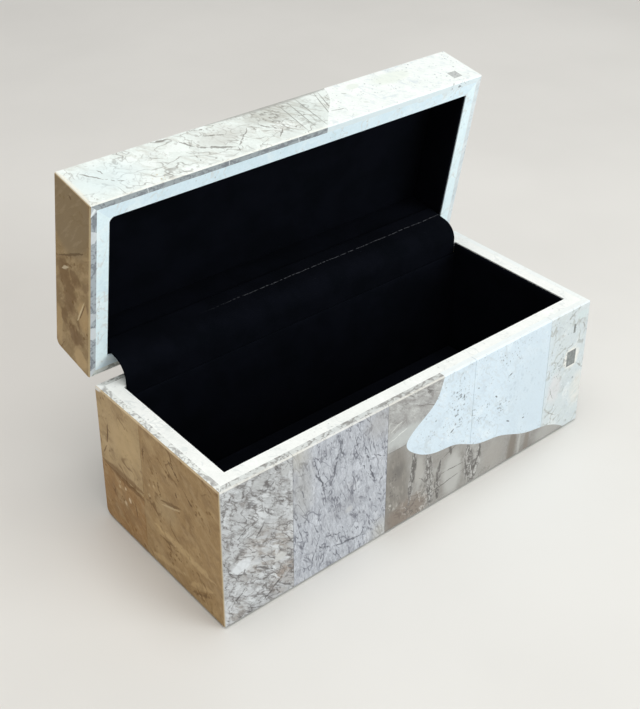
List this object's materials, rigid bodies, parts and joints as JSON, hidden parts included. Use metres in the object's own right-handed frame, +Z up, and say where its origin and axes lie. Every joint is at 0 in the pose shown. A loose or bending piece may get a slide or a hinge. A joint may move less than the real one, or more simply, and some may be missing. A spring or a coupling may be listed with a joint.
{
  "type": "stone box with hinged lid",
  "caption": "Rectangular box clad in fitted stone tiles with a wavy white inlay, lined in dark velvet, with a hinged lid that stands open by itself.",
  "frame": {"origin": "middle of the underside, on the table", "axes": "+X along the length to the right, +Y from front to back, +Z up"},
  "size_m": [0.305, 0.17, 0.2321],
  "materials": {
    "breccia_stone": "polished lavender-grey breccia with pale angular pieces",
    "veined_stone": "polished blue-grey stone with dark streaks",
    "banded_stone": "polished grey-brown stone with soft bands",
    "brown_stone": "polished brown-beige stone with dark cracks",
    "cream_stone": "polished cream-grey stone with crackle veins",
    "white_stone": "polished white stone with fine specks and pits",
    "chip_stone": "polished grey stone",
    "carcase_wood": "bare planed softwood",
    "hinge_brass": "lightly tarnished brass",
    "velvet": "near-black navy velvet",
    "felt": "dark green felt"
  },
  "bodies": {
    "base": {"back_left_tile": "banded_stone", "back_middle_tile": "veined_stone", "back_white_tile": "white_stone", "base_back_board": "carcase_wood", "base_bottom_board": "carcase_wood", "base_felt_pad": "felt", "base_front_board": "carcase_wood", "base_hinge_leaves": "hinge_brass", "base_hinge_screws": "hinge_brass", "base_left_board": "carcase_wood", "base_lining_back": "velvet", "base_lining_floor": "velvet", "base_lining_front": "velvet", "base_lining_left": "velvet", "base_lining_right": "velvet", "base_right_board": "carcase_wood", "base_rim_back": "white_stone", "base_rim_front": "white_stone", "base_rim_left": "white_stone", "base_rim_right": "white_stone", "front_banded_tile": "banded_stone", "front_breccia_tile": "breccia_stone", "front_grey_inserts": "chip_stone", "front_upper_tile": "banded_stone", "front_veined_tile": "veined_stone", "front_white_left_tile": "white_stone", "front_white_middle_tile": "white_stone", "front_white_right_tile": "white_stone", "hinge_pins": "hinge_brass", "hinge_velvet_flap": "velvet", "left_front_tile": "brown_stone", "left_lower_tile": "brown_stone", "left_upper_tile": "brown_stone", "right_end_tile": "white_stone"},
    "lid": {"lid_back_board": "carcase_wood", "lid_back_grey_tile": "cream_stone", "lid_back_white_tile": "white_stone", "lid_front_board": "carcase_wood", "lid_front_grey_tile": "cream_stone", "lid_front_insert": "chip_stone", "lid_front_white_tile": "white_stone", "lid_hinge_leaves": "hinge_brass", "lid_hinge_screws": "hinge_brass", "lid_left_board": "carcase_wood", "lid_left_tile": "brown_stone", "lid_lining_back": "velvet", "lid_lining_ceiling": "velvet", "lid_lining_front": "velvet", "lid_lining_left": "velvet", "lid_lining_right": "velvet", "lid_right_board": "carcase_wood", "lid_right_tile": "white_stone", "lid_rim_back": "white_stone", "lid_rim_front": "white_stone", "lid_rim_left": "white_stone", "lid_rim_right": "white_stone", "lid_top_board": "carcase_wood", "lid_top_left_tile": "brown_stone", "lid_top_middle_tile": "veined_stone", "lid_top_white_tile": "white_stone"}
  },
  "joints": [
    {"name": "lid_hinge", "type": "hinge", "parent": "base", "child": "lid", "pos_m": [0, 0.067, 0.0965], "axis": [1, 0, 0], "range_deg": [0, 80], "deforming": ["hinge_velvet_flap"]}
  ]
}
